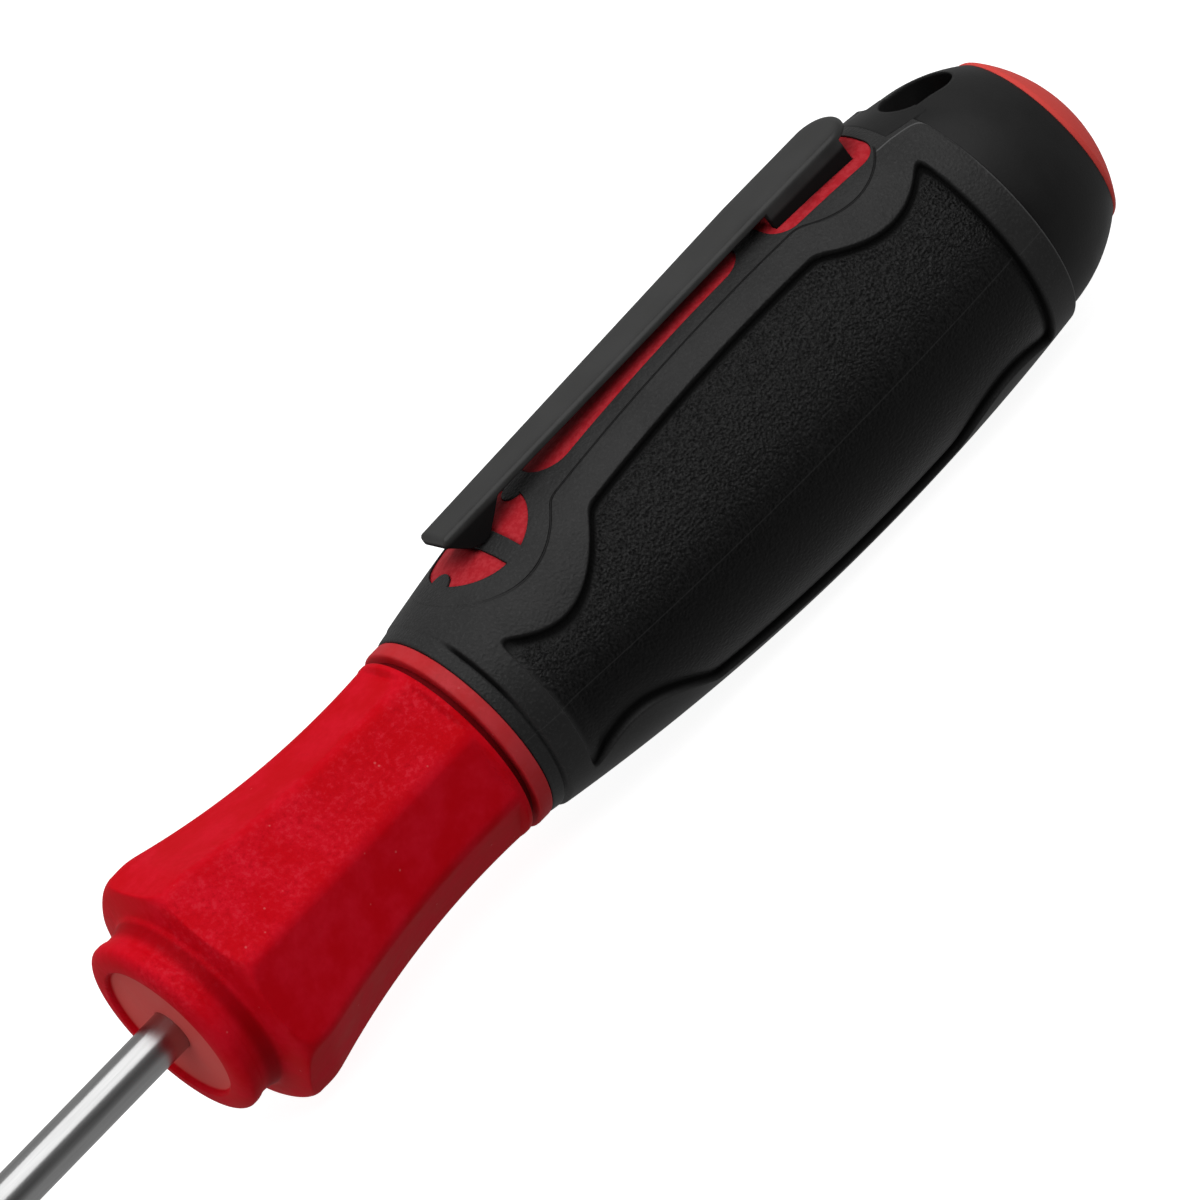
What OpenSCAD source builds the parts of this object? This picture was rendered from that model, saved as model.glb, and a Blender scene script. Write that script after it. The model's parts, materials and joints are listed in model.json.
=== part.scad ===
// Pocket screwdriver: a slotted blade in a hard core with a soft grip, a butt cap with a hang hole
// and a stamped spring clip. Lengths are in millimetres.
// The tool lies along X with its nose towards -X and its clip on top. X is counted from the nose's
// front face and heights from the tool's axis, and lay_down() then sets the tool on its belly.

/* [Blade] */
// Diameter of the round shaft
shaft_d = 3.0; // [2.6:0.1:3.4]
// Length that stands out of the nose, tip included
blade_reach = 60; // [40:1:100]
// Length of the hollow-ground tip
tip_l = 9; // [6:0.5:14]
// Thickness of the tip at its end
tip_t = 0.5; // [0.4:0.05:0.8]
// Width of the tip at its end
tip_w = 2.9; // [2.5:0.05:2.95]
// Length over which the tip's sides narrow
tip_taper_l = 10; // [9.5:0.5:16]
// Length of shank moulded into the core
shank_l = 42; // [34:1:50]
// Width across the shank's pressed wings
wing_w = 4.6; // [4:0.1:5.4]
// Thickness of the pressed wings
wing_t = 1.6; // [1:0.1:2.2]
// Length of the pressed wings
wing_l = 7; // [4:0.5:10]

/* [Nose collar] */
// Diameter of the nose flange
flange_d = 13.9; // [13.6:0.1:14.4]
// Length of the nose flange
flange_l = 1.35; // [1.2:0.05:1.6]
// Diameter of the flat recess in the nose
recess_d = 10.6; // [9:0.1:11.4]
// Depth of the flat recess in the nose
recess_depth = 0.45; // [0.3:0.05:0.7]
// Diameter of the neck behind the flange
neck_d = 13.2; // [12.6:0.1:13.4]
// Lean of the collar's front shoulder from the axis, in degrees
shoulder_lean = 50; // [44:1:60]
// Diameter of the collar's crest over its corners
crest_d = 18.9; // [18.3:0.1:19.6]
// Height of the crest over two opposite facets
facet_d = 17.6; // [17.2:0.1:17.8]
// Rounding of the crest's front edge
crest_round = 1.0; // [0.6:0.1:1.4]
// Length of the crest
crest_l = 2.1; // [1.6:0.1:2.8]
// Diameter of the collar's waist
waist_d = 14.45; // [14.1:0.05:14.7]
// Distance from the waist to the collar's rear end
waist_setback = 3.75; // [2.6:0.05:6]
// Height of the waist over two opposite facets
waist_facet_d = 14.15; // [13.8:0.05:14.4]
// Length of the collar
collar_l = 26.35; // [25.6:0.05:27]
// Length of the cuff at the collar's rear end
cuff_l = 0.45; // [0.3:0.05:0.8]
// Diameter of the cuff
cuff_d = 14.8; // [14.75:0.05:15]
// Width of the groove behind the collar
groove_w = 0.5; // [0.35:0.05:0.8]
// Diameter at the groove's floor
groove_d = 13.9; // [13.4:0.1:14.2]
// Width of the red ring
ring_w = 1.15; // [0.9:0.05:1.6]
// Diameter of the red ring
ring_d = 15.1; // [14.9:0.05:15.3]

/* [Grip] */
// Length of the soft grip
grip_l = 48.0; // [47:0.1:49.4]
// Width of the smooth lip next to the ring
lip_w = 1.1; // [0.8:0.1:1.6]
// Diameter of the smooth lip
lip_d = 15.4; // [15.3:0.05:15.6]
// Diameter of the grip just behind the lip
grip_front_d = 15.7; // [15.6:0.05:16]
// Largest diameter of the grip
belly_d = 20.75; // [20.1:0.05:21.2]
// Distance from the largest diameter to the grip's rear end
belly_setback = 17.5; // [16:0.1:19]
// Wall of the soft grip over the core
grip_wall = 1.8; // [1.4:0.1:2.2]
// Depth of the grained side panels
panel_depth = 0.4; // [0.2:0.05:0.7]
// Distance from the grip's front end to the side panels
panel_front = 3.1; // [2.4:0.1:3.8]
// Distance from the side panels to the grip's rear end
panel_rear = 2.35; // [1.8:0.05:3]
// Radius of the smooth band round the symbol
band_symbol_r = 7.7; // [7.3:0.05:8]
// Half width of the smooth band beside the clip
band_half_w = 5.7; // [5.3:0.05:6]
// Radius of the smooth band round the clip's root
band_root_r = 7.25; // [6.9:0.05:7.4]
// Radius of the fine line round the symbol
line_symbol_r = 5.5; // [5.1:0.05:6]
// Half width of the fine line beside the clip
line_half_w = 3.55; // [3.2:0.05:3.9]
// Radius of the fine line round the clip's root
line_root_r = 5.0; // [4.85:0.05:5.2]
// Width of the fine line
line_w = 0.16; // [0.12:0.01:0.25]
// Depth of the fine line
line_depth = 0.1; // [0.06:0.01:0.2]

/* [Red lands] */
// Distance from the grip's front end to the symbol disc, which lies under the clip's tip
symbol_front = 8.4; // [7.9:0.1:8.8]
// Radius of the symbol disc
symbol_r = 3.95; // [3.6:0.05:4.2]
// Width of the bar across the symbol disc
symbol_bar_w = 1.5; // [1.1:0.05:1.9]
// Radius of the tabs that reach into the symbol disc
symbol_tab_r = 0.95; // [0.7:0.05:1.2]
// Distance from the symbol disc's centre to the long land under the clip
long_front = 5.35; // [5:0.05:6.6]
// Distance from the long land to the clip's root
long_rear = 6.85; // [6.4:0.05:8.5]
// Width of the long land
long_w = 4.5; // [3.8:0.1:5]
// Distance from the clip's root to the grip's rear end
root_rear = 7.45; // [7.2:0.05:7.7]
// Distance from the middle of the root's land to the clip's root
root_land_shift = 0.35; // [0.25:0.05:0.45]
// Length of the land round the clip's root
root_land_l = 9.1; // [9:0.05:9.3]
// Width of the land round the clip's root
root_land_w = 6.7; // [6.3:0.1:6.9]
// Corner radius of the land round the clip's root
root_land_round = 1.6; // [1.2:0.1:2]
// How far the lands lie below the grip's surface
land_drop = 0.12; // [0.05:0.01:0.25]

/* [Butt] */
// Length of the butt cap behind the seam
cap_l = 6.5; // [6.2:0.1:7.2]
// Diameter of the cap at the seam
cap_front_d = 18.1; // [17.8:0.1:18.3]
// Diameter of the cap's rear end and of the red button
cap_rear_d = 13.8; // [13.4:0.1:14.2]
// Radius of the cap's crown, seen from the side
cap_crown_r = 11.5; // [10:0.5:16]
// Width of the tongue that closes the clip's slot
tongue_w = 5.7; // [5.3:0.1:6]
// Height of the tongue over the axis where it meets the hang hole
tongue_rear_h = 9.3; // [9.2:0.05:9.4]
// Length of the hang hole
hole_l = 5.2; // [4.8:0.1:5.4]
// Width of the hang hole
hole_w = 3.8; // [3.4:0.1:4]
// Wall between the hang hole and the cap's rear end
hole_wall = 1.7; // [1.6:0.1:1.9]
// Radius of the red button's dome
dome_r = 10.5; // [9:0.5:14]
// Rounding of the button's edge
dome_edge_r = 0.4; // [0.3:0.05:0.6]
// Length of the button's straight rim
button_rim_l = 0.1; // [0.05:0.05:0.3]
// Diameter of the spigot that holds the cap in the core
spigot_d = 8; // [7:0.1:9]
// Length of the spigot that holds the cap in the core
spigot_l = 9; // [6:0.5:12]
// Diameter of the button's spigot
button_spigot_d = 8; // [6:0.1:9]
// Length of the button's spigot
button_spigot_l = 0.9; // [0.6:0.1:1.2]

/* [Clip] */
// Thickness of the clip's sheet
sheet_t = 0.6; // [0.5:0.05:0.7]
// Height of the clip's root over the axis
clip_h = 11.65; // [11.55:0.05:11.9]
// Width of the clip at its root
clip_root_w = 4.35; // [4.1:0.05:4.6]
// Width of the clip at its tip
clip_tip_w = 3.2; // [2.8:0.1:3.8]
// Fall of the arm from the root to the tip
clip_fall = 0.55; // [0.4:0.05:0.65]
// Distance from the arm's flexing line to the front of the folded flanges
flex_setback = 0.7; // [0.5:0.1:1]
// Length of the folded flanges at the root
flange_plate_l = 6.95; // [6.5:0.05:7.1]
// Length from the folded flanges to the clip's rear end
flange_back = 1.58; // [1.5:0.02:1.8]
// Height over the axis of the flanges' lower edges, in the core
flange_foot_h = 7.7; // [7.4:0.1:8.5]
// Length from the clip's root centre to its rounded rear end
rear_reach = 4.33; // [4.2:0.01:4.5]
// Length from the symbol's centre to the clip's tip
tip_reach = 2.4; // [2:0.1:2.8]
// Length of the folded ears along the tip
ear_l = 4.6; // [4.1:0.1:5.1]
// Length of the ears' feet
ear_foot_l = 1.6; // [1.2:0.1:1.8]
// Distance from the ears' feet to the symbol's centre
ear_foot_setback = 0.35; // [0.2:0.05:0.5]
// Depth of the turned-down lip at the tip
tip_lip_depth = 0.7; // [0.65:0.05:0.9]

/* [Clearances] */
// Gap between pieces that are moulded or pressed together
bond_gap = 0.04; // [0.03:0.01:0.06]
// Gap between the clip's flanges and their slots
clip_fit = 0.06; // [0.05:0.01:0.1]
// Gap across the arm's flexing line
flex_gap = 0.1; // [0.08:0.01:0.15]
// Gap between the ears' feet and the symbol at rest
ear_gap = 0.06; // [0.05:0.01:0.12]

/* [Hidden] */

$fn = 64;
// Fragments of a full turn and of a large arc
turn_fn = 96;
arc_fn = 720;
// Overrun of every cut past the face that it opens
overrun = 1;
// Faces on the collar
facet_count = 8;
// Depth of the blade's ring groove inside the nose
shank_groove_depth = 0.3;
// Length of the blade's ring groove inside the nose
shank_groove_l = 1.2;
// Distance from the shank's end to its wings
wing_setback = 6;
// Radius of the tip's hollow grind
grind_r = 60;
// How far the shoulder reaches into the flange's rounded rim
shoulder_bite = 0.2;
// Chamfer of the ring's front edge
ring_chamfer = 0.25;
// Chamfer of the tongue's front edge
tongue_chamfer = 0.15;
// Gap between the clip's rear end and the tongue
tongue_gap = 0.67;
// Rounding of the clip's plan corners at the tip
tip_round = 0.3;
// Rounding of the ears' feet
ear_foot_round = 0.35;

// Radius of an arc with this half chord and this rise
function arc_radius(half_chord, rise) = (half_chord * half_chord + rise * rise) / (2 * rise);

// Radius of the grip's surface at a place along the handle, lowered by a depth
function grip_r(x, depth) = belly_r - belly_arc_r
    + sqrt(pow(belly_arc_r - depth, 2) - pow(x - belly_x, 2));

// Stations along the handle
wing_x = shank_l - wing_setback - wing_l;
rim_r = flange_l / 2;
shoulder_x = flange_l - shoulder_bite;
crest_r = crest_d / 2;
crest_seat_r = crest_r - crest_round;
shoulder_end_r = crest_seat_r + crest_round * cos(shoulder_lean);
crest_x = shoulder_x + (shoulder_end_r - neck_d / 2) / tan(shoulder_lean) + crest_round * sin(shoulder_lean);
shoulder_end_x = crest_x - crest_round * sin(shoulder_lean);
flare_x = crest_x + crest_l;
ring_x = collar_l + groove_w;
grip_x = ring_x + ring_w;
seam_x = grip_x + grip_l;
waist_x = collar_l - waist_setback;
belly_x = seam_x - belly_setback;
panel_front_x = grip_x + panel_front;
panel_rear_x = seam_x - panel_rear;
symbol_x = grip_x + symbol_front;
root_x = seam_x - root_rear;
root_land_x = root_x - root_land_shift;
long_front_x = symbol_x + long_front;
long_rear_x = root_x - long_rear;
cap_end_x = seam_x + cap_l;
button_edge_x = cap_end_x + button_rim_l;
dome_drop = sqrt(pow(dome_r - dome_edge_r, 2) - pow(cap_rear_d / 2 - dome_edge_r, 2));
handle_l = button_edge_x - dome_drop + dome_r;

// Arcs of the collar, the grip, the cap and the button
flare_r = arc_radius(waist_x - flare_x, crest_r - waist_d / 2);
facet_r = facet_d / 2;
facet_flare_r = arc_radius(waist_x - flare_x, facet_r - waist_facet_d / 2);
belly_r = belly_d / 2;
belly_arc_r = arc_radius(belly_x - grip_x - lip_w, belly_r - grip_front_d / 2);
cap_chord = norm([cap_l, (cap_front_d - cap_rear_d) / 2]);
cap_drop = sqrt(pow(cap_crown_r, 2) - pow(cap_chord / 2, 2));
cap_lean = atan2((cap_front_d - cap_rear_d) / 2, cap_l);
cap_centre = [(cap_front_d + cap_rear_d) / 4 - cap_drop * cos(cap_lean),
              seam_x + cap_l / 2 - cap_drop * sin(cap_lean)];

// Stations of the clip and the cap
hole_x = cap_end_x - hole_wall - hole_l / 2;
clip_rear_x = root_x + rear_reach;
flange_plate_x = clip_rear_x - flange_back - flange_plate_l;
flex_x = flange_plate_x - flex_setback;
tongue_x = clip_rear_x + tongue_gap;
tip_x = symbol_x - tip_reach;
arm_l = flex_x - flex_gap / 2 - tip_x;
arm_lean = asin(clip_fall / arm_l);
tip_h = clip_h - clip_fall;
ear_foot_h = grip_r(symbol_x, 0) + ear_gap;

// Reach of a cut that passes the whole tool
reach_out = belly_d;

// Sets the tool on its belly, centred along X
module lay_down() {
    translate([(blade_reach - handle_l) / 2, 0, belly_r])
        children();
}

// Turns a half profile, drawn as radius and place along the tool, about the tool's axis
module revolve() {
    rotate([0, 90, 0])
        rotate_extrude($fn = turn_fn)
            children();
}

// Half profile of a plain round length
module length_2d(radius, from_x, to_x) {
    translate([0, from_x])
        square([radius, to_x - from_x]);
}

// Half profile of the belly, lowered by a depth
module belly_2d(from_x, to_x, depth) {
    intersection() {
        length_2d(reach_out, from_x, to_x);
        translate([belly_r - belly_arc_r, belly_x])
            circle(r = belly_arc_r - depth, $fn = arc_fn);
    }
}

// Straight prism of an outline drawn from above
module upright(from_h) {
    translate([0, 0, from_h])
        linear_extrude(height = reach_out - from_h)
            children();
}

// Prism of an outline drawn from above, through the whole tool
module through() {
    linear_extrude(height = 2 * reach_out, center = true)
        children();
}

// Straight prism of an outline drawn from the side
module sideways(width) {
    rotate([90, 0, 0])
        linear_extrude(height = width, center = true)
            children();
}

// Rounded rectangle about its centre
module round_rect(length, width, corner_r) {
    square([length - 2 * corner_r, width], center = true);
    square([length, width - 2 * corner_r], center = true);
    for (sx = [-1, 1], sy = [-1, 1])
        translate([sx * (length / 2 - corner_r), sy * (width / 2 - corner_r)])
            circle(r = corner_r);
}

// Outline with round ends, about its centre
module stadium(length, width) {
    square([length - width, width], center = true);
    for (side = [-1, 1])
        translate([side * (length - width) / 2, 0])
            circle(d = width);
}

// Outline round the symbol, the arm and the root of the clip
module clip_outline(around_symbol_r, half_w, around_root_r) {
    translate([symbol_x, 0])
        circle(r = around_symbol_r);
    translate([symbol_x, -half_w])
        square([root_x - symbol_x, 2 * half_w]);
    translate([root_x, 0])
        circle(r = around_root_r);
}

// Outline of the red lands, grown by a margin
module land_outline(margin) {
    difference() {
        translate([symbol_x, 0])
            circle(r = symbol_r + margin);
        translate([symbol_x, 0])
            square([symbol_bar_w - 2 * margin, 2 * reach_out], center = true);
        for (side = [-1, 1])
            translate([symbol_x + side * symbol_r, 0])
                circle(r = symbol_tab_r - margin);
    }
    translate([(long_front_x + long_rear_x) / 2, 0])
        stadium(long_rear_x - long_front_x + 2 * margin, long_w + 2 * margin);
    translate([root_land_x, 0])
        round_rect(root_land_l + 2 * margin, root_land_w + 2 * margin, root_land_round + margin);
}

// Outline of the cap's tongue, grown by a margin
module tongue_outline(margin) {
    translate([tongue_x - margin, -tongue_w / 2 - margin])
        square([seam_x - tongue_x + margin + overrun, tongue_w + 2 * margin]);
}

// Hang hole through the handle's rear end
module hang_hole() {
    through()
        translate([hole_x, 0])
            stadium(hole_l, hole_w);
}

// Shaft with a hollow-ground slotted tip, a ring groove in the nose and pressed wings in the core
module blade() {
    color("silver")
        lay_down()
            difference() {
                union() {
                    revolve()
                        difference() {
                            polygon([[0, -blade_reach], [tip_w / 2, -blade_reach],
                                     [shaft_d / 2, -blade_reach + tip_taper_l], [shaft_d / 2, shank_l],
                                     [0, shank_l]]);
                            translate([shaft_d / 2 - shank_groove_depth, recess_depth])
                                square([shank_groove_depth + overrun, shank_groove_l]);
                        }
                    translate([wing_x, -wing_w / 2, -wing_t / 2])
                        cube([wing_l, wing_w, wing_t]);
                }
                for (side = [-1, 1])
                    sideways(shaft_d + 2 * overrun)
                        tip_grind(side);
            }
}

// Hollow grind on one face of the tip, seen from the side
module tip_grind(side) {
    fall = (shaft_d - tip_t) / 2;
    chord = norm([tip_l, fall]);
    lean = atan2(fall, tip_l);
    drop = sqrt(pow(grind_r, 2) - pow(chord / 2, 2));
    intersection() {
        translate([-blade_reach + tip_l / 2 - drop * sin(lean),
                   side * ((shaft_d + tip_t) / 4 + drop * cos(lean))])
            circle(r = grind_r, $fn = arc_fn);
        translate([-blade_reach - overrun, side > 0 ? 0 : -reach_out])
            square([tip_l + 2 * overrun, reach_out]);
    }
}

// Round blank of the collar, with its shoulder, crest and flare
module collar_blank() {
    revolve() {
        polygon([[0, shoulder_x], [neck_d / 2, shoulder_x], [shoulder_end_r, shoulder_end_x],
                 [crest_seat_r, crest_x], [0, crest_x]]);
        translate([crest_seat_r, crest_x])
            circle(r = crest_round);
        difference() {
            length_2d(crest_r, crest_x, collar_l);
            translate([waist_d / 2 + flare_r, waist_x])
                circle(r = flare_r, $fn = arc_fn);
        }
    }
}

// Space outside one facet, over its straight front and its hollow
module facet_cut() {
    sideways(2 * crest_r) {
        translate([0, facet_r])
            square([collar_l + overrun, crest_r]);
        intersection() {
            translate([waist_x, waist_facet_d / 2 + facet_flare_r])
                circle(r = facet_flare_r, $fn = arc_fn);
            square([collar_l + overrun, crest_r]);
        }
    }
}

// Collar, cut by its concave facets one after the other
module collar(facets) {
    difference() {
        if (facets > 1)
            collar(facets - 1);
        else
            collar_blank();
        rotate([facets * 360 / facet_count, 0, 0])
            facet_cut();
    }
}

// Nose flange, neck, cuff, groove, ring and stem
module core_turning() {
    revolve() {
        length_2d(flange_d / 2 - rim_r, 0, flange_l);
        translate([flange_d / 2 - rim_r, rim_r])
            circle(r = rim_r);
        length_2d(neck_d / 2, rim_r, shoulder_x);
        length_2d(cuff_d / 2, collar_l - cuff_l, collar_l);
        length_2d(groove_d / 2, shoulder_x, ring_x);
        polygon([[0, ring_x], [ring_d / 2 - ring_chamfer, ring_x], [ring_d / 2, ring_x + ring_chamfer],
                 [ring_d / 2, grip_x], [0, grip_x]]);
        belly_2d(grip_x, seam_x, grip_wall);
    }
}

// Red lands that fill the grip's windows
module lands() {
    intersection() {
        revolve()
            belly_2d(grip_x, seam_x, land_drop);
        upright(0)
            land_outline(0);
    }
}

// Seat between the clip's flanges, under its top
module clip_seat() {
    seat_w = clip_root_w - 2 * sheet_t - 2 * clip_fit;
    translate([flange_plate_x, -seat_w / 2, 0])
        cube([flange_plate_l, seat_w, clip_h - sheet_t - clip_fit]);
}

// Slots for the clip's flanges
module clip_slots() {
    slot_w = sheet_t + 2 * clip_fit;
    for (side = [-1, 1])
        translate([flange_plate_x - clip_fit, side * (clip_root_w - sheet_t) / 2 - slot_w / 2,
                   flange_foot_h - clip_fit])
            cube([flange_plate_l + 2 * clip_fit, slot_w, reach_out]);
}

// Hard core: nose, collar, ring, stem and lands in one moulding
module handle_core() {
    color("crimson")
        lay_down()
            difference() {
                union() {
                    collar(facet_count);
                    core_turning();
                    lands();
                    clip_seat();
                }
                revolve() {
                    length_2d(recess_d / 2, -overrun, recess_depth);
                    length_2d(shaft_d / 2 + bond_gap, 0, shank_l + bond_gap);
                    length_2d(spigot_d / 2 + bond_gap, seam_x - spigot_l - bond_gap, seam_x + overrun);
                }
                translate([wing_x - bond_gap, -wing_w / 2 - bond_gap, -wing_t / 2 - bond_gap])
                    cube([wing_l + 2 * bond_gap, wing_w + 2 * bond_gap, wing_t + 2 * bond_gap]);
                clip_slots();
                hang_hole();
            }
}

// Sunk side panels, outside the smooth bands over and under the handle
module panel_cut() {
    difference() {
        translate([panel_front_x, -reach_out, -reach_out])
            cube([panel_rear_x - panel_front_x, 2 * reach_out, 2 * reach_out]);
        revolve()
            belly_2d(grip_x, seam_x, panel_depth);
        through()
            clip_outline(band_symbol_r, band_half_w, band_root_r);
    }
}

// Fine line round the windows
module line_cut() {
    difference() {
        upright(0)
            clip_outline(line_symbol_r + line_w / 2, line_half_w + line_w / 2, line_root_r + line_w / 2);
        upright(-overrun)
            clip_outline(line_symbol_r - line_w / 2, line_half_w - line_w / 2, line_root_r - line_w / 2);
        revolve()
            belly_2d(grip_x, seam_x, line_depth);
    }
}

// Soft grip with its lip, bands, side panels and windows
module grip() {
    color("dimgray")
        lay_down()
            difference() {
                revolve() {
                    length_2d(lip_d / 2, grip_x + bond_gap, grip_x + lip_w);
                    belly_2d(grip_x + lip_w, seam_x - bond_gap, 0);
                }
                revolve()
                    belly_2d(grip_x - overrun, seam_x + overrun, grip_wall - bond_gap);
                upright(0) {
                    land_outline(bond_gap);
                    tongue_outline(bond_gap);
                }
                panel_cut();
                line_cut();
                hang_hole();
            }
}

// Tongue of the cap, which closes the clip's slot
module tongue() {
    tongue_end_x = hole_x - hole_l / 2;
    tongue_h = grip_r(tongue_x, 0);
    difference() {
        intersection() {
            revolve()
                polygon([[0, tongue_x], [tongue_h - tongue_chamfer, tongue_x],
                         [tongue_h, tongue_x + tongue_chamfer], [tongue_rear_h, tongue_end_x],
                         [cap_front_d / 2, seam_x + overrun], [0, seam_x + overrun]]);
            upright(0)
                tongue_outline(0);
        }
        revolve()
            length_2d(grip_r(seam_x, grip_wall) + bond_gap, 0, seam_x);
        revolve()
            belly_2d(grip_x, seam_x, grip_wall - bond_gap);
    }
}

// Butt cap with its tongue, its spigot, the hang hole and the button's pocket
module butt_cap() {
    color("black")
        lay_down()
            difference() {
                union() {
                    revolve() {
                        intersection() {
                            length_2d(reach_out, seam_x, cap_end_x);
                            translate(cap_centre)
                                circle(r = cap_crown_r, $fn = arc_fn);
                        }
                        length_2d(spigot_d / 2, seam_x - spigot_l, seam_x);
                    }
                    tongue();
                }
                hang_hole();
                revolve()
                    length_2d(button_spigot_d / 2 + bond_gap, cap_end_x - button_spigot_l - bond_gap,
                              cap_end_x + overrun);
            }
}

// Half profile of the button's dome, cut where its rounded edge takes over
module dome_2d() {
    edge_share = (cap_rear_d / 2 - dome_edge_r) / dome_drop;
    intersection() {
        translate([0, button_edge_x - dome_drop])
            circle(r = dome_r, $fn = arc_fn);
        translate([0, button_edge_x - dome_drop])
            polygon([[0, 0], [reach_out * edge_share, reach_out], [0, reach_out]]);
        length_2d(reach_out, cap_end_x, handle_l + overrun);
    }
}

// Domed button with its rounded edge and its spigot
module butt_button() {
    color("crimson")
        lay_down()
            revolve() {
                dome_2d();
                length_2d(cap_rear_d / 2, cap_end_x, button_edge_x);
                translate([cap_rear_d / 2 - dome_edge_r, button_edge_x])
                    intersection() {
                        circle(r = dome_edge_r);
                        square(dome_edge_r);
                    }
                length_2d(button_spigot_d / 2, cap_end_x - button_spigot_l, cap_end_x);
            }
}

// Root of the clip: top with a round rear end, and two folded flanges
module clip_root() {
    root_front_x = flex_x + flex_gap / 2;
    round_x = clip_rear_x - clip_root_w / 2;
    color("dimgray")
        lay_down() {
            translate([0, 0, clip_h - sheet_t])
                linear_extrude(height = sheet_t) {
                    translate([root_front_x, -clip_root_w / 2])
                        square([round_x - root_front_x, clip_root_w]);
                    translate([round_x, 0])
                        circle(d = clip_root_w);
                }
            for (side = [-1, 1])
                translate([flange_plate_x, side * (clip_root_w - sheet_t) / 2 - sheet_t / 2, flange_foot_h])
                    cube([flange_plate_l, sheet_t, clip_h - sheet_t / 2 - flange_foot_h]);
        }
}

// Plan of the arm, from the flexing line to the tip
module arm_plan() {
    ear_end = arm_l - ear_l;
    polygon([[0, -clip_root_w / 2], [-ear_end, -clip_tip_w / 2], [-ear_end, clip_tip_w / 2], [0, clip_root_w / 2]]);
    translate([-arm_l + tip_round, -clip_tip_w / 2])
        square([ear_l - tip_round, clip_tip_w]);
    translate([-arm_l, -clip_tip_w / 2 + tip_round])
        square([ear_l, clip_tip_w - 2 * tip_round]);
    for (side = [-1, 1])
        translate([-arm_l + tip_round, side * (clip_tip_w / 2 - tip_round)])
            circle(r = tip_round);
}

// Side outline of the folded ears
module ear_side() {
    foot_rear_x = symbol_x - ear_foot_setback + ear_foot_l / 2;
    polygon([[tip_x + tip_round, tip_h - sheet_t / 2], [tip_x + tip_round, tip_h - tip_lip_depth],
             [foot_rear_x - ear_foot_l, ear_foot_h], [foot_rear_x - ear_foot_round, ear_foot_h],
             [foot_rear_x, ear_foot_h + ear_foot_round], [tip_x + ear_l, tip_h - sheet_t],
             [tip_x + ear_l, tip_h - sheet_t / 2]]);
}

// Arm of the clip: tapered strip, turned-down lip and two folded ears
module clip_arm() {
    lip_plate_w = clip_tip_w - 2 * tip_round;
    color("dimgray")
        lay_down() {
            translate([flex_x - flex_gap / 2, 0, clip_h])
                rotate([0, -arm_lean, 0])
                    translate([0, 0, -sheet_t])
                        linear_extrude(height = sheet_t)
                            arm_plan();
            for (side = [-1, 1])
                translate([0, side * (clip_tip_w - sheet_t) / 2, 0])
                    sideways(sheet_t)
                        ear_side();
            translate([tip_x, -lip_plate_w / 2, tip_h - tip_lip_depth])
                cube([sheet_t, lip_plate_w, tip_lip_depth - sheet_t / 2]);
        }
}

blade();
handle_core();
grip();
butt_cap();
butt_button();
clip_root();
clip_arm();
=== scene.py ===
import json
import math

import bmesh
import bpy
import numpy as np
from mathutils import Matrix, Vector


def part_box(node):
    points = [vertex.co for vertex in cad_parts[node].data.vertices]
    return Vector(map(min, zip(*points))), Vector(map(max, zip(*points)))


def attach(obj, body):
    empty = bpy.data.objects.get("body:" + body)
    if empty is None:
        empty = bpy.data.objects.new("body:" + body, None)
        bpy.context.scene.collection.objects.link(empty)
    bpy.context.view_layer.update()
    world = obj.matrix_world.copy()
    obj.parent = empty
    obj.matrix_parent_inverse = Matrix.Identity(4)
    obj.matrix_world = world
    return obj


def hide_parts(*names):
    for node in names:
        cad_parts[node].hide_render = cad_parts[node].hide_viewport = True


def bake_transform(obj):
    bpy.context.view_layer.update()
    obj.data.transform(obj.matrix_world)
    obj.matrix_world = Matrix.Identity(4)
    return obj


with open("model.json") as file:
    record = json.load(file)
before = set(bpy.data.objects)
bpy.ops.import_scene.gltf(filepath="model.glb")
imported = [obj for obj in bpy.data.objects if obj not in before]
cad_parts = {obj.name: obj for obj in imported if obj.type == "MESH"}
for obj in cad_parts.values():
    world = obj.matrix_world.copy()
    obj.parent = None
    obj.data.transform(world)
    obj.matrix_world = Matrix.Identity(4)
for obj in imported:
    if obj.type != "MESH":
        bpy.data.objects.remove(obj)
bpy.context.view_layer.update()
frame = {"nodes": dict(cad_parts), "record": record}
nodes = frame["nodes"]
scene = bpy.context.scene

# The nose's front and the tool's axis in the row frame, in metres
MM = 0.001
NOSE_X = -12.6845 * MM
AXIS_Z = 10.375 * MM

# All other sizes are millimetres: stations count from the nose, heights and radii from the axis

# The collar: blank, facets and nose
COLLAR_END = 28.0
CORE_CUT_X = 28.02
COLLAR_COLUMNS = 384
WAIST_X = 22.6
BLANK_WAIST_R = 7.225
BLANK_ARC = 62.2
FACET_WAIST_R = 6.8
FACET_ARC = 68.3
FACET_FRONT_R = 8.83
RIDGE_BLEND = 0.05
CUFF_R = 7.36
SHAFT_HOLE_R = 1.502
RECESS_X = 0.45
RECESS_R = 5.0
RECESS_FILLET = 0.18
RIM_R = 0.14
RIM_MIDDLE_R = 5.4
SWELL_LENGTH = 0.72
SWELL_START_R = 5.55
SWELL_RISE = 1.4

# The grip: its barrel shape, its ends and the seam to the cap
GRIP_FRONT = 28.04
GRIP_REAR = 75.96
GRIP_THICKNESS = 1.76
LIP_REAR = 29.6
END_ROUND = 0.12
BELLY_X = 58.5
BELLY_R = 10.375
BELLY_ARC = 172.42
SEAM_X = 76.0
TONGUE_HALF = 3.3
TONGUE_BLEND = 1.6

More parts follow.
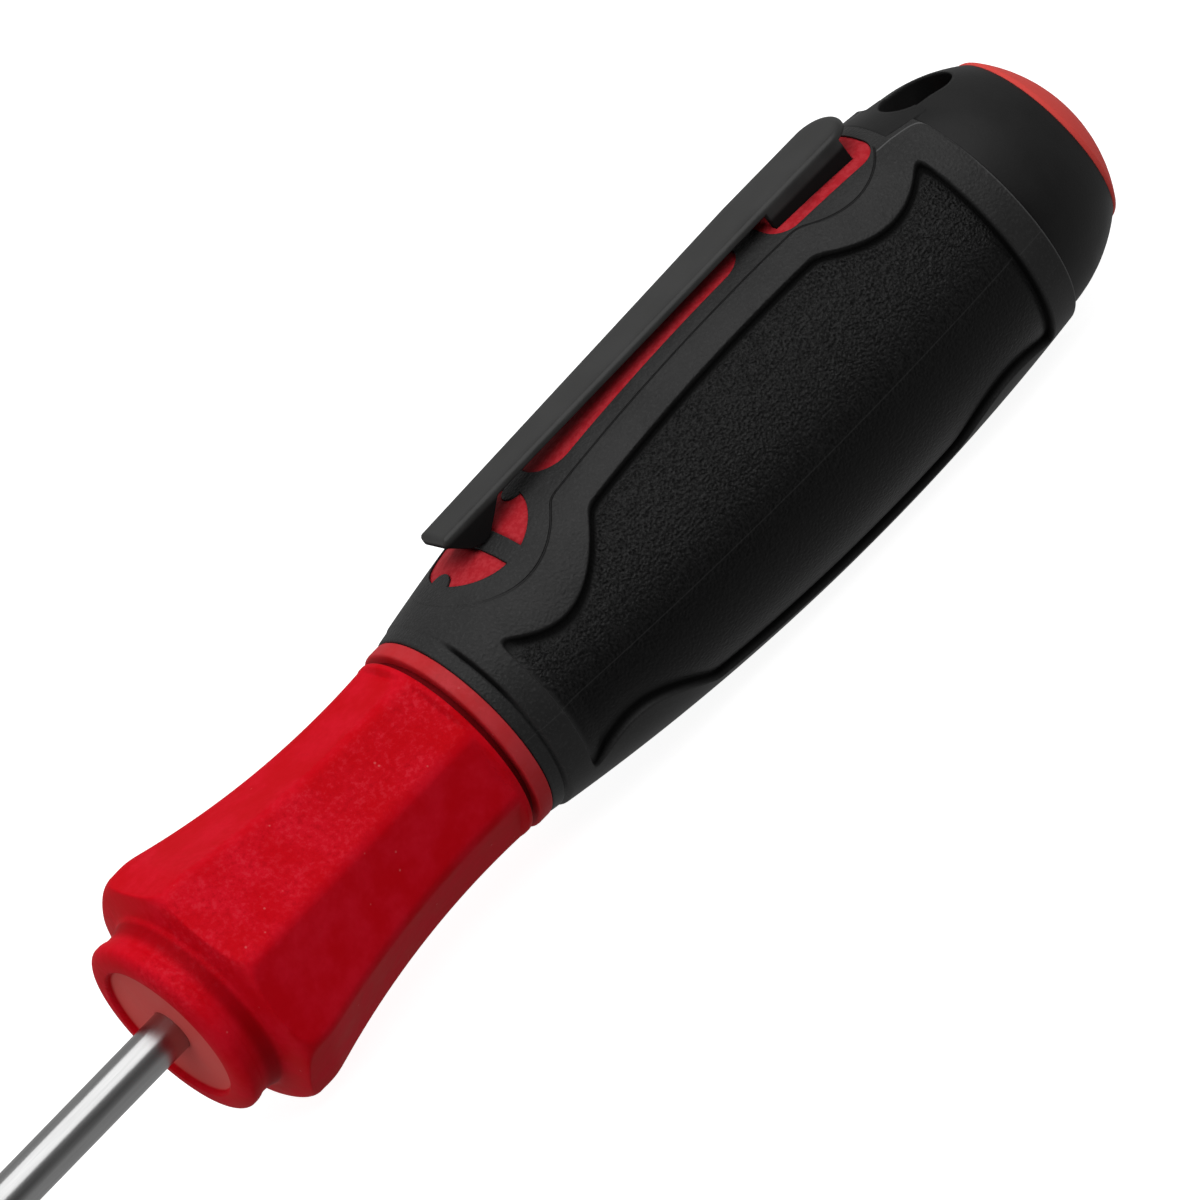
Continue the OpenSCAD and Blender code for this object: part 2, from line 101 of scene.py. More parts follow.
# The grip's band: a ring round the symbol and one round the clip's root, joined by a strip
SYMBOL_X = 36.4
ROOT_X = 68.55
BAND_SYMBOL_R = 7.7
BAND_ROOT_R = 7.25
BAND_HALF = 5.7
BAND_BLEND = 0.75

# The fine line that follows the clip inside the band
LINE_SYMBOL_R = 5.5
LINE_ROOT_R = 5.0
LINE_HALF = 3.55

# The sunk side panel
PANEL_FRONT = 31.1
PANEL_REAR = 73.65
PANEL_BLEND = 1.35

# The clip: a tapered strip with a round end at the root
CLIP_TIP = 33.92
CLIP_END_X = 70.7
CLIP_END_R = 2.175
CLIP_TOP = 11.65
CLIP_DROP = 0.55
CLIP_NARROWING = 0.575
TAPER_X = 63.65
TAPER_LENGTH = 29.65
SHEET = 0.56
TIP_SHEET = 0.72
TIP_LENGTH = 0.47
TIP_CORNER = 0.3
TOP_ROUND = 0.42
FOOT_BEVEL = 0.06
EAR_REAR = 38.75
FLANGE_FRONT = 64.35
FLANGE_REAR = 71.3
FLANGE_LIFT = 0.02


def at(x, y=0.0, h=0.0):
    """A point in the row frame from millimetres along the handle, across it and over its axis."""
    return Vector((NOSE_X + x * MM, y * MM, AXIS_Z + h * MM))


# Shader helpers
class Shader:
    """A material's node tree with one Principled shader, and short calls for the nodes in use here."""

    def __init__(self, name):
        self.mat = bpy.data.materials.new(name)
        self.mat.use_nodes = True
        self.tree = self.mat.node_tree
        self.tree.nodes.clear()
        self.bsdf = self.tree.nodes.new("ShaderNodeBsdfPrincipled")
        out = self.tree.nodes.new("ShaderNodeOutputMaterial")
        self.tree.links.new(self.bsdf.outputs[0], out.inputs[0])
        self.coord = self.tree.nodes.new("ShaderNodeTexCoord").outputs["Object"]

    def put(self, socket, value):
        """Link a socket or set a constant on it."""
        if isinstance(value, bpy.types.NodeSocket):
            self.tree.links.new(value, socket)
        else:
            socket.default_value = value

    def set(self, **values):
        """Give the Principled shader's inputs by name, with _ for a space."""
        for name, value in values.items():
            self.put(self.bsdf.inputs[name.replace("_", " ")], value)

    def math(self, operation, first, second=0.0, third=0.0):
        node = self.tree.nodes.new("ShaderNodeMath")
        node.operation = operation
        for i, value in enumerate((first, second, third)):
            self.put(node.inputs[i], value)
        return node.outputs[0]

    def times(self, first, *others):
        """The product of two or more values."""
        for other in others:
            first = self.math("MULTIPLY", first, other)
        return first

    def places(self):
        """Along the tool, across it, up over its axis and away from its axis, in metres."""
        node = self.tree.nodes.new("ShaderNodeSeparateXYZ")
        self.put(node.inputs[0], self.coord)
        x, y, z = node.outputs
        up = self.math("SUBTRACT", z, AXIS_Z)
        away = self.math("SQRT", self.math("MULTIPLY_ADD", y, y, self.times(up, up)))
        return x, y, up, away

    def band(self, value, low, high, out_low=0.0, out_high=1.0):
        """A soft step from one outcome to another between two values."""
        node = self.tree.nodes.new("ShaderNodeMapRange")
        node.interpolation_type = "SMOOTHSTEP"
        for i, number in enumerate((value, low, high, out_low, out_high)):
            self.put(node.inputs[i], number)
        return node.outputs[0]

    def along(self, x, low, high, out_low=0.0, out_high=1.0):
        """A soft step between two stations in millimetres."""
        return self.band(x, NOSE_X + low * MM, NOSE_X + high * MM, out_low, out_high)

    def stretch(self, x, start, full, fade, end, most=1.0):
        """A share that rises between two stations, stays, and falls between two more."""
        return self.times(self.along(x, start, full), self.along(x, fade, end, most, 0.0))

    def noise(self, scale, detail=3.0, rough=0.5, vector=None):
        node = self.tree.nodes.new("ShaderNodeTexNoise")
        self.put(node.inputs["Vector"], vector or self.coord)
        node.inputs["Scale"].default_value = scale
        node.inputs["Detail"].default_value = detail
        node.inputs["Roughness"].default_value = rough
        return node.outputs["Fac"]

    def cells(self, scale, feature="SMOOTH_F1"):
        node = self.tree.nodes.new("ShaderNodeTexVoronoi")
        node.feature = feature
        self.put(node.inputs["Vector"], self.coord)
        node.inputs["Scale"].default_value = scale
        return node.outputs["Distance"]

    def scaled(self, scale):
        node = self.tree.nodes.new("ShaderNodeMapping")
        self.put(node.inputs["Vector"], self.coord)
        node.inputs["Scale"].default_value = scale
        return node.outputs[0]

    def mix(self, share, under, over):
        node = self.tree.nodes.new("ShaderNodeMix")
        node.data_type = "RGBA"
        self.put(node.inputs[0], share)
        self.put(node.inputs[6], under)
        self.put(node.inputs[7], over)
        return node.outputs[2]

    def layers(self, base, *coats):
        """Colours laid over a base in turn, each as a share and a colour."""
        for share, colour in coats:
            base = self.mix(share, base, colour)
        return base

    def round_edges(self, radius):
        node = self.tree.nodes.new("ShaderNodeBevel")
        node.samples = 6
        node.inputs["Radius"].default_value = radius * MM
        return node.outputs[0]

    def bump(self, height, distance, strength=1.0, normal=None):
        """Relief of a height in millimetres, over another normal where one is given."""
        node = self.tree.nodes.new("ShaderNodeBump")
        node.inputs["Strength"].default_value = strength
        node.inputs["Distance"].default_value = distance * MM
        self.put(node.inputs["Height"], height)
        if normal is not None:
            self.put(node.inputs["Normal"], normal)
        return node.outputs[0]


def rgba(r, g, b):
    return (r, g, b, 1.0)


def grey(value):
    return rgba(value, value, value)


# Materials
def red_plastic():
    """Satin red: mottled on the upper facets, with painted sheen in the lighter spots there, painted shade
    towards the waist, in the neck and in the slot, and painted light and reflection that make it paler at
    nose and butt.
    """
    paint = Shader("red_plastic")
    x, _, up, away = paint.places()
    steep = paint.math("DIVIDE", up, away)
    broad = paint.noise(420.0, 4.0, 0.6)
    fine = paint.noise(5200.0, 2.0, 0.5)
    mottle = paint.noise(2400.0, 3.0, 0.7)
    upper = paint.times(paint.band(steep, 0.36, 0.46, 0.2, 1.0), paint.band(steep, 0.88, 0.95, 1.0, 0.3))
    # Mottle on the upper facets: darker spots, and lighter, pinker spots that are painted sheen.
    upper_mottle = paint.times(upper, paint.band(broad, 0.36, 0.6, 0.45, 1.0))
    # Painted shade: the upper facets darken towards the waist.
    waist = paint.times(paint.along(x, 9.0, 20.0, 0.0, 0.3), upper)
    dark_spots = paint.times(paint.band(mottle, 0.5, 0.68, 0.0, 0.4), upper_mottle)
    painted_sheen_spots = paint.times(paint.band(mottle, 0.5, 0.34, 0.0, 0.4), upper_mottle)
    # Painted shade in the neck behind the flange.
    neck = paint.stretch(x, 1.5, 2.3, 2.7, 3.12, 0.62)
    speck = paint.band(paint.cells(520.0, "F1"), 0.02, 0.06, 0.25, 0.0)
    # Painted light and reflection: the recess's floor, inside the rim, is paler and pinker.
    in_rim = paint.band(away, 5.1 * MM, 5.3 * MM, 0.85, 0.0)
    recess = paint.times(paint.stretch(x, 0.3, 0.5, 0.6, 0.7), in_rim)
    ring = paint.times(paint.along(x, 26.8, 26.95), paint.band(broad, 0.3, 0.6, 0.3, 0.45))
    land = paint.stretch(x, 29.0, 30.0, SEAM_X, 77.0, 0.75)
    land_red = paint.mix(paint.band(mottle, 0.4, 0.62), rgba(0.36, 0.012, 0.02), rgba(0.44, 0.03, 0.04))
    # Painted reflection: the butt's red end is paler and pinker.
    butt = paint.along(x, 78.0, 79.0, 0.0, 0.8)
    # Painted shade in the slot behind the collar.
    slot = paint.stretch(x, 26.3, 26.36, 26.82, 26.88, 0.8)
    base = paint.layers(
        paint.mix(paint.band(broad, 0.35, 0.68), rgba(0.57, 0.002, 0.008), rgba(0.63, 0.006, 0.018)),
        (waist, rgba(0.42, 0.0, 0.001)),
        (dark_spots, rgba(0.36, 0.001, 0.004)),
        (painted_sheen_spots, rgba(0.68, 0.03, 0.05)),
        (neck, rgba(0.24, 0.0, 0.002)),
        (speck, rgba(0.8, 0.25, 0.25)),
        (recess, rgba(0.70, 0.13, 0.115)),
        (ring, rgba(0.40, 0.08, 0.085)),
        (land, land_red),
        (butt, rgba(0.74, 0.085, 0.07)),
        (slot, rgba(0.06, 0.004, 0.005)))
    ripple = paint.bump(paint.noise(900.0, 2.0, 0.5), 0.04, 0.35, paint.round_edges(0.1))
    relief = paint.times(paint.math("ADD", fine, mottle), upper_mottle)
    paint.set(Base_Color=base, Roughness=paint.band(broad, 0.3, 0.7, 0.4, 0.5), Specular_IOR_Level=0.015,
              Normal=paint.bump(relief, 0.012, 0.5, ripple))
    return paint.mat


def outline_distance(paint, x, y, symbol_r, half, root_r):
    """Distance outside the two rings and the strip that joins them, seen from above, in metres."""
    def ring(station, r):
        off = paint.math("SUBTRACT", x, NOSE_X + station * MM)
        square = paint.math("MULTIPLY_ADD", y, y, paint.times(off, off))
        return paint.math("SUBTRACT", paint.math("SQRT", square), r * MM)

    beside = paint.math("SUBTRACT", paint.math("ABSOLUTE", y), half * MM)
    before = paint.math("SUBTRACT", NOSE_X + SYMBOL_X * MM, x)
    after = paint.math("SUBTRACT", x, NOSE_X + ROOT_X * MM)
    strip = paint.math("MAXIMUM", beside, paint.math("MAXIMUM", before, after))
    front = paint.math("SMOOTH_MIN", ring(SYMBOL_X, symbol_r), strip, BAND_BLEND * MM)
    return paint.math("SMOOTH_MIN", front, ring(ROOT_X, root_r), BAND_BLEND * MM)


def out_to_band(paint, x, y, away):
    """Y moved out to the band's surface, so that the sunk panel has the same outline as the band."""
    off = paint.math("SUBTRACT", x, NOSE_X + BELLY_X * MM)
    square = paint.math("SUBTRACT", (BELLY_ARC * MM) ** 2, paint.times(off, off))
    belly = paint.math("SUBTRACT", paint.math("SQRT", square), (BELLY_ARC - BELLY_R) * MM)
    return paint.times(y, paint.math("DIVIDE", belly, away))


def panel_inside(paint, x, y):
    """Distance inside the sunk side panel, in metres."""
    beside = outline_distance(paint, x, y, BAND_SYMBOL_R, BAND_HALF, BAND_ROOT_R)
    after = paint.math("SUBTRACT", x, NOSE_X + PANEL_FRONT * MM)
    before = paint.math("SUBTRACT", NOSE_X + PANEL_REAR * MM, x)
    inside = paint.math("SMOOTH_MIN", beside, after, PANEL_BLEND * MM)
    return paint.math("SMOOTH_MIN", inside, before, PANEL_BLEND * MM)


def clip_line(paint, x, y, up):
    """The fine line round the clip on the upper side, fainter in front of the symbol; its share sets the
    line's relief and the painted shade that darkens it.
    """
    off = paint.math("ABSOLUTE", outline_distance(paint, x, y, LINE_SYMBOL_R, LINE_HALF, LINE_ROOT_R))
    line = paint.band(off, 0.03 * MM, 0.09 * MM, 1.0, 0.0)
    line = paint.times(line, paint.along(x, 32.0, 37.0, 0.15, 1.0), paint.along(x, 72.4, 72.8, 1.0, 0.0))
    return paint.times(line, paint.band(up, 0.0, 1.0 * MM))


def tongue_painted_highlight(paint, x, y, up):
    """A painted highlight: the pale line where the grip meets the cap's tongue."""
    beside = paint.math("SUBTRACT", paint.math("ABSOLUTE", y), TONGUE_HALF * MM)
    before = paint.math("SUBTRACT", NOSE_X + SEAM_X * MM, x)
    off = paint.math("ABSOLUTE", paint.math("SMOOTH_MIN", beside, before, TONGUE_BLEND * MM))
    line = paint.band(off, 0.02 * MM, 0.08 * MM, 1.0, 0.0)
    return paint.times(line, paint.along(x, 72.3, 72.6), paint.band(up, 0.0, 1.0 * MM))


def groove_painted_shade(paint, x, y, inside, steep):
    """Painted shade in the groove along the panel's edge, left out at the front, and in the nick behind the
    grip's lip.
    """
    edge = paint.band(inside, 0.01 * MM, 0.1 * MM)
    edge = paint.times(edge, paint.band(inside, 0.26 * MM, 0.5 * MM, 1.0, 0.0))
    far_out = paint.band(paint.math("ABSOLUTE", y), 6.2 * MM, 7.1 * MM)
    bare = paint.times(paint.along(x, 31.3, 32.2, 1.0, 0.0), far_out)
    edge = paint.times(edge, paint.math("SUBTRACT", 1.0, bare))
    flank = paint.times(paint.band(steep, 0.1, 0.5), paint.band(steep, 0.82, 0.92, 1.0, 0.0))
    nick = paint.times(paint.stretch(x, 29.0, 29.12, 29.22, 29.4), flank)
    return paint.math("MAXIMUM", edge, nick)


def soft_grip():
    """Soft black cover: smooth bands, and grained panels whose grain fades on the lower side, with painted
    glints in the panels' lighter grain specks, painted shade on their lower side, in the fine line and in the
    groove, and painted highlights on the rear edge and along the tongue.
    """
    paint = Shader("soft_grip")
    x, y, up, away = paint.places()
    steep = paint.math("DIVIDE", up, away)
    y = out_to_band(paint, x, y, away)
    inside = panel_inside(paint, x, y)
    panel = paint.band(inside, 0.1 * MM, 0.6 * MM)
    # Painted shade: a share that darkens the panels' colour towards the lower side and fades their grain
    # there.
    shade = paint.band(steep, -0.2, 0.55, 0.15, 1.0)
    line = clip_line(paint, x, y, up)
    # Painted shade in the groove along the panel's edge and in the nick behind the lip.
    groove = groove_painted_shade(paint, x, y, inside, steep)
    seam = paint.band(paint.math("ABSOLUTE", up), 0.02 * MM, 0.06 * MM, 0.16, 0.0)
    # Painted highlight: a pale line on the grip's rear edge, on the flanks and below.
    rim = paint.times(paint.along(x, 75.8, 75.88), paint.band(steep, 0.8, 0.5, 0.0, 0.85))
    broad = paint.noise(260.0, 3.0, 0.5)
    grit = paint.noise(5600.0, 2.0, 0.6)
    band = paint.mix(paint.band(broad, 0.3, 0.7), grey(0.0195), rgba(0.0255, 0.0253, 0.0253))
    band = paint.mix(paint.band(grit, 0.52, 0.66, 0.0, 0.6), band, grey(0.035))
    # Panel colour: grain specks lighter only on the lit upper side, as painted glints, and near black on the
    # lower side as painted shade.
    sunk = paint.mix(paint.times(paint.band(grit, 0.36, 0.68), shade), grey(0.002), grey(0.021))
    # Over the panel and band colours: the pale seam line, painted highlights on the rear edge and along the
    # tongue, and painted shade in the fine line round the clip and in the groove.
    base = paint.layers(
        paint.mix(panel, band, sunk),
        (seam, grey(0.1)),
        (rim, grey(0.075)),
        (paint.times(tongue_painted_highlight(paint, x, y, up), 0.6), grey(0.13)),
        (paint.times(line, 0.8), grey(0.003)),
        (groove, grey(0.001)))
    grain = paint.math("MULTIPLY_ADD", grit, 1.3, paint.cells(4700.0))
    grain = paint.times(grain, paint.math("MULTIPLY_ADD", panel, 0.75, 0.25), shade)
    relief = paint.math("MULTIPLY_ADD", line, -0.8, grain)
    rough = paint.math("MULTIPLY_ADD", groove, 0.4, paint.math("MULTIPLY_ADD", panel, -0.1, 0.5))
    paint.set(Base_Color=base, Roughness=rough, Specular_IOR_Level=0.15,
              Normal=paint.bump(relief, 0.17, 1.0, paint.round_edges(0.11)))
    return paint.mat


def black_plastic():
    """Satin black of the cap, with a very fine grain."""
    paint = Shader("black_plastic")
    broad = paint.noise(300.0, 3.0, 0.5)
    fine = paint.noise(5200.0, 2.0, 0.6)
    base = paint.mix(paint.band(broad, 0.3, 0.7), grey(0.0065), rgba(0.0105, 0.0104, 0.0104))
    paint.set(Base_Color=base, Roughness=paint.band(broad, 0.3, 0.7, 0.46, 0.54), Specular_IOR_Level=0.19,
              Normal=paint.bump(fine, 0.02, 0.5, paint.round_edges(0.3)))
    return paint.mat


def clip_black():
    """Black coat of the clip; the folded ears and flanges are duller than the top and made near black by
    painted shade.
    """
    paint = Shader("clip_black")
    up = paint.places()[2]
    # Painted shade: below the top, the folded ears and flanges are near black.
    top = paint.band(up, 10.45 * MM, 10.8 * MM)
    broad = paint.noise(380.0, 3.0, 0.5)
    fine = paint.noise(7000.0, 2.0, 0.6)
    plate = paint.mix(paint.band(broad, 0.3, 0.7), rgba(0.0245, 0.0245, 0.024), rgba(0.0325, 0.0325, 0.032))
    rough = paint.math("MULTIPLY_ADD", top, -0.45, paint.band(broad, 0.3, 0.7, 0.81, 0.89))
    paint.set(Base_Color=paint.mix(top, grey(0.0008), plate), Roughness=rough, Specular_IOR_Level=0.24,
              Normal=paint.bump(fine, 0.008, 0.6, paint.round_edges(0.08)))
    return paint.mat


def steel():
    """Bright shaft with faint streaks along it."""
    paint = Shader("steel")
    streak = paint.noise(1.0, 3.0, 0.6, paint.scaled((160.0, 3200.0, 3200.0)))
    base = paint.mix(paint.band(streak, 0.3, 0.7), grey(0.37), grey(0.42))
    paint.set(Base_Color=base, Roughness=paint.band(streak, 0.25, 0.75, 0.19, 0.24), Metallic=1.0,
              Normal=paint.bump(streak, 0.002, 0.3))
    return paint.mat


def floor_white():
    """Plain pale floor that glows a little, so that it reads as white."""
    paint = Shader("floor_white")
    paint.set(Base_Color=grey(0.42), Roughness=0.8, Specular_IOR_Level=0.1, Emission_Color=grey(1.0),
              Emission_Strength=0.92)
    return paint.mat


looks = {"steel": steel(), "red_plastic": red_plastic(), "soft_grip": soft_grip(),
         "black_plastic": black_plastic(), "clip_black": clip_black()}
node_slot = {part["node"]: part["material_slot"] for part in frame["record"]["subparts"]}
for name, obj in nodes.items():
    obj.data.materials.clear()
    obj.data.materials.append(looks[node_slot[name]])


# Mesh helpers
SAME_POINT = 1e-7


def piece(name, verts, faces, look, sharp=None):
    """A new object from points in millimetres along the handle, across it and over its axis."""
    mesh = bpy.data.meshes.new(name)
    mesh.from_pydata([at(*point) for point in verts], [], faces)
    mesh.update()
    obj = bpy.data.objects.new(name, mesh)
    scene.collection.objects.link(obj)
    finish_mesh(obj, look, sharp)
    return obj


def finish_mesh(obj, look, sharp=None):
    """Join points that coincide, turn the normals out, shade smooth up to an angle and set the material."""
    bm = bmesh.new()
    bm.from_mesh(obj.data)
    bmesh.ops.remove_doubles(bm, verts=bm.verts, dist=SAME_POINT)
    bmesh.ops.recalc_face_normals(bm, faces=bm.faces)
    bm.to_mesh(obj.data)
    bm.free()
    obj.data.shade_smooth()
    if sharp is not None:
        obj.data.set_sharp_from_angle(angle=math.radians(sharp))
    obj.data.materials.clear()
    obj.data.materials.append(looks[look])


def turned(x, radii, turns):
    """A row of points round the axis at a station, from one radius or from one for each angle."""
    radii = np.broadcast_to(radii, len(turns))
    return [(x, -r * math.sin(turn), r * math.cos(turn)) for r, turn in zip(radii, turns)]


def ring_faces(rows, count, closed=True):
    """Quads between rows of points that run round; closed also joins the last row to the first."""
    faces = []
    for row in range(rows if closed else rows - 1):
        this = row * count
        following = (row + 1) % rows * count
        for j in range(count):
            k = (j + 1) % count
            faces.append((this + j, this + k, following + k, following + j))
    return faces


def smooth_min(a, b, width):
    """The lesser of two values, with their meeting rounded over a width."""
    share = np.maximum(width - np.abs(a - b), 0.0) / width
    return np.minimum(a, b) - share ** 3 * width / 6.0


def smooth_step(value, low, high):
    """From nought to one between two values."""
    share = np.clip((value - low) / (high - low), 0.0, 1.0)
    return share * share * (3.0 - 2.0 * share)


def profile_arc(middle_x, middle_r, r, start, end, count):
    """Points of a profile's arc: degrees from the nose's direction towards the outside."""
    turns = np.radians(np.linspace(start, end, count))
    return [(middle_x - r * math.cos(turn), middle_r + r * math.sin(turn)) for turn in turns]


def plan_arc(middle_x, r, start, end, count):
    """Points of an arc seen from above, with its middle on the tool's plane."""
    turns = np.radians(np.linspace(start, end, count))
    return [(middle_x + r * math.cos(turn), r * math.sin(turn)) for turn in turns]


# The collar: a turned blank with eight hollow facets that fade into the waist

# The neck behind the flange and the steep wall that rises from it, as stations and radii
NECK_AND_WALL = [(0.0, 6.84), (1.42, 6.84), (1.7, 6.8), (2.1, 6.82), (2.5, 6.9), (2.85, 7.02),
                 (3.06, 7.1), (3.1, 7.18), (3.18, 7.22), (3.22, 7.34), (3.34, 7.85), (3.45, 8.3),
                 (3.54, 8.65), (3.62, 8.86), (3.72, 9.03), (3.86, 9.2), (4.1, 9.36), (4.5, 9.47),
                 (COLLAR_END, 9.47)]

# The flange's rear edge, where it turns down to the neck
FLANGE_EDGE = [(0.86, 6.95), (0.97, 6.95), (1.08, 6.94), (1.18, 6.92), (1.27, 6.9), (1.35, 6.87)]

# The slot behind the collar, the ring and the end face
SLOT_AND_RING = [(26.27, 7.34), (26.31, 7.29), (26.33, 7.18), (26.34, 6.85), (26.4, 6.78), (26.8, 6.78),
                 (26.86, 6.85), (26.87, 7.3), (26.89, 7.45), (26.97, 7.53), (27.1, 7.55), (27.5, 7.55),
                 (27.85, 7.55), (27.95, 7.53), (COLLAR_END, 7.47), (COLLAR_END, 6.6), (COLLAR_END, 5.7)]

# Profiles are softened on a fine grid, over so many of its steps to each side
FINE_STEP = 0.02
SOFT_REACH = 100


def waisted(x, low, arc):
    """A profile that is lowest at the waist and rises to both sides along an arc."""
    return low + arc - np.sqrt(arc ** 2 - (x - WAIST_X) ** 2)


def softened(values, width):
    """Values on the fine grid, each blended with its neighbours over a width."""
    step = np.arange(-SOFT_REACH, SOFT_REACH + 1) * FINE_STEP
    weight = np.exp(-0.5 * (step / width) ** 2)
    return np.convolve(np.pad(values, SOFT_REACH, mode="edge"), weight / weight.sum(), mode="valid")


def collar_radii(x):
    """The blank's radius and the facets' distance from the axis, along the collar."""
    grid = np.arange(0.0, COLLAR_END, FINE_STEP)
    blank = np.minimum(np.interp(grid, *np.transpose(NECK_AND_WALL)), waisted(grid, BLANK_WAIST_R, BLANK_ARC))
    facets = np.minimum(FACET_FRONT_R, waisted(grid, FACET_WAIST_R, FACET_ARC))
    behind_wall = smooth_step(grid, 4.3, 5.2)
    radii = []
    for profile in (blank, facets):
        soft = softened(profile, 0.04) * (1.0 - behind_wall) + softened(profile, 0.5) * behind_wall
        radii.append(np.interp(x, grid, soft))
    return radii


def nose_profile():
    """From the shaft over the recess, its rim and the flange's swell to the flange's rear edge."""
    points = [(RECESS_X, r) for r in (SHAFT_HOLE_R, 3.0, 4.6, RECESS_R)]
    points += profile_arc(RECESS_X - RECESS_FILLET, RECESS_R, RECESS_FILLET, 180.0, 90.0, 4)[1:]
    points += [(0.16, 5.19)]
    points += profile_arc(RIM_R, RIM_MIDDLE_R, RIM_R, -60.0, 0.0, 4)
    points += [(0.0, 5.5)]
    for turn in np.radians(np.arange(8.0, 90.1, 6.0)):
        x = SWELL_LENGTH - SWELL_LENGTH * math.cos(turn)
        points.append((x, SWELL_START_R + SWELL_RISE * math.sin(turn)))
    return points + FLANGE_EDGE


def collar():
    stations = np.concatenate([np.arange(1.42, 3.0, 0.1), np.arange(3.0, 4.39, 0.035),
                               np.arange(4.4, 8.0, 0.1), np.arange(8.0, 25.6, 0.2),
                               np.arange(25.6, 26.24, 0.05)])
    turns = np.linspace(0.0, 2.0 * math.pi, COLLAR_COLUMNS, endpoint=False)
    eighth = math.pi / 4
    off = np.abs((turns + eighth / 2) % eighth - eighth / 2)
    verts = []
    for x, r in nose_profile():
        verts += turned(x, r, turns)
    for x, blank, facet in zip(stations, *collar_radii(stations)):
        facets = smooth_min(facet / np.cos(off), facet / np.cos(eighth - off), RIDGE_BLEND)
        blend = 0.14 + 0.1 * float(smooth_step(x, 5.2, 3.6))
        r = smooth_min(np.full(COLLAR_COLUMNS, blank), facets, blend)
        cuff = float(smooth_step(x, 25.6, 26.0))
        verts += turned(x, r * (1.0 - cuff) + CUFF_R * cuff, turns)
    for x, r in SLOT_AND_RING:
        verts += turned(x, r, turns)
    rows = len(verts) // COLLAR_COLUMNS
    return piece("collar", verts, ring_faces(rows, COLLAR_COLUMNS), "red_plastic", 40.0)


# The core behind the collar, with its lands: the solid's own mesh from the ring on
def core_rear():
    mesh = nodes["handle_core"].data.copy()
    obj = bpy.data.objects.new("core_rear", mesh)
    scene.collection.objects.link(obj)
    bm = bmesh.new()
    bm.from_mesh(mesh)
    bmesh.ops.remove_doubles(bm, verts=bm.verts, dist=SAME_POINT)
    everything = bm.verts[:] + bm.edges[:] + bm.faces[:]
    cut = bmesh.ops.bisect_plane(bm, geom=everything, dist=SAME_POINT, plane_co=at(CORE_CUT_X),
                                 plane_no=(-1.0, 0.0, 0.0), clear_outer=True)
    rim = [item for item in cut["geom_cut"] if isinstance(item, bmesh.types.BMEdge)]
    bmesh.ops.triangle_fill(bm, edges=rim, use_beauty=True)
    bm.to_mesh(mesh)
    bm.free()
    finish_mesh(obj, "red_plastic", 25.0)
    return obj


# The soft grip: bands round the clip's outline, sunk side panels and windows for the lands

# Columns of points on each side of the band's edge, as distances outside it
EDGE_COLUMNS = np.array([-0.35, -0.22, -0.14, -0.08, -0.03, 0.02, 0.06, 0.1, 0.14, 0.18, 0.23, 0.28, 0.33,
                         0.39, 0.46, 0.56, 0.72])

# The top of the grip beside the cap's tongue, as stations and radii
TONGUE_TOP = [(73.4, 9.9), (73.7, 9.7), (75.6, 9.3), (GRIP_REAR, 9.27)]


def grip_radius(x):
    """The grip's barrel, without its relief."""
    return BELLY_R - BELLY_ARC + np.sqrt(BELLY_ARC ** 2 - (x - BELLY_X) ** 2)


def band_distance(x, y):
    """Distance outside the band's outline as seen from above."""
    front = np.hypot(x - SYMBOL_X, y) - BAND_SYMBOL_R
    rear = np.hypot(x - ROOT_X, y) - BAND_ROOT_R
    strip = np.maximum(np.abs(y) - BAND_HALF, np.maximum(SYMBOL_X - x, x - ROOT_X))
    return smooth_min(smooth_min(front, strip, BAND_BLEND), rear, BAND_BLEND)


def band_half(x):
    """Half the band's width at a station."""
    x = np.clip(x, PANEL_FRONT, PANEL_REAR)
    front = np.sqrt(np.maximum(BAND_SYMBOL_R ** 2 - (x - SYMBOL_X) ** 2, 0.0))
    rear = np.sqrt(np.maximum(BAND_ROOT_R ** 2 - (x - ROOT_X) ** 2, 0.0))
    return np.maximum(np.maximum(front, rear), BAND_HALF)


def panel_depth(x, y):
    """How deep the side panel lies under the band, deepest along its edge and shallow at the front."""
    inside = smooth_min(band_distance(x, y), x - PANEL_FRONT, PANEL_BLEND)
    inside = smooth_min(inside, PANEL_REAR - x, PANEL_BLEND)
    full = smooth_step(x, 30.9, 32.8)
    edge = np.exp(-(np.maximum(inside - 0.12, 0.0) / 0.55) ** 2)
    return (0.1 + 0.3 * full + (0.06 + 0.1 * full) * edge) * smooth_step(inside, 0.0, 0.13)


def grip_stations():
    """Stations along the grip, close together at the lip, the panel's ends and the rounded ends."""
    front = [GRIP_FRONT, 28.06, 28.1, 28.16, 28.26, 28.5, 28.75, 28.9]
    rear = [75.7, 75.8, 75.87, 75.92, 75.95, GRIP_REAR]
    return np.concatenate([front, np.arange(29.0, 29.4, 0.04), np.arange(29.4, 30.9, 0.12),
                           np.arange(30.9, 33.0, 0.06), np.arange(33.0, 72.6, 0.15),
                           np.arange(72.6, 73.9, 0.06), np.arange(73.9, 75.7, 0.15), rear])


def grip_turns(x):
    """Angles round the grip at a station, close together at the band's edges."""
    edge = np.arcsin((band_half(x) + EDGE_COLUMNS) / grip_radius(x))
    quarter = np.concatenate([np.linspace(0.0, edge[0], 24, endpoint=False), edge,
                              np.linspace(edge[-1], math.pi / 2, 34)[1:]])
    half = np.concatenate([quarter, math.pi - quarter[-2::-1]])
    return np.concatenate([half, 2.0 * math.pi - half[-2:0:-1]])


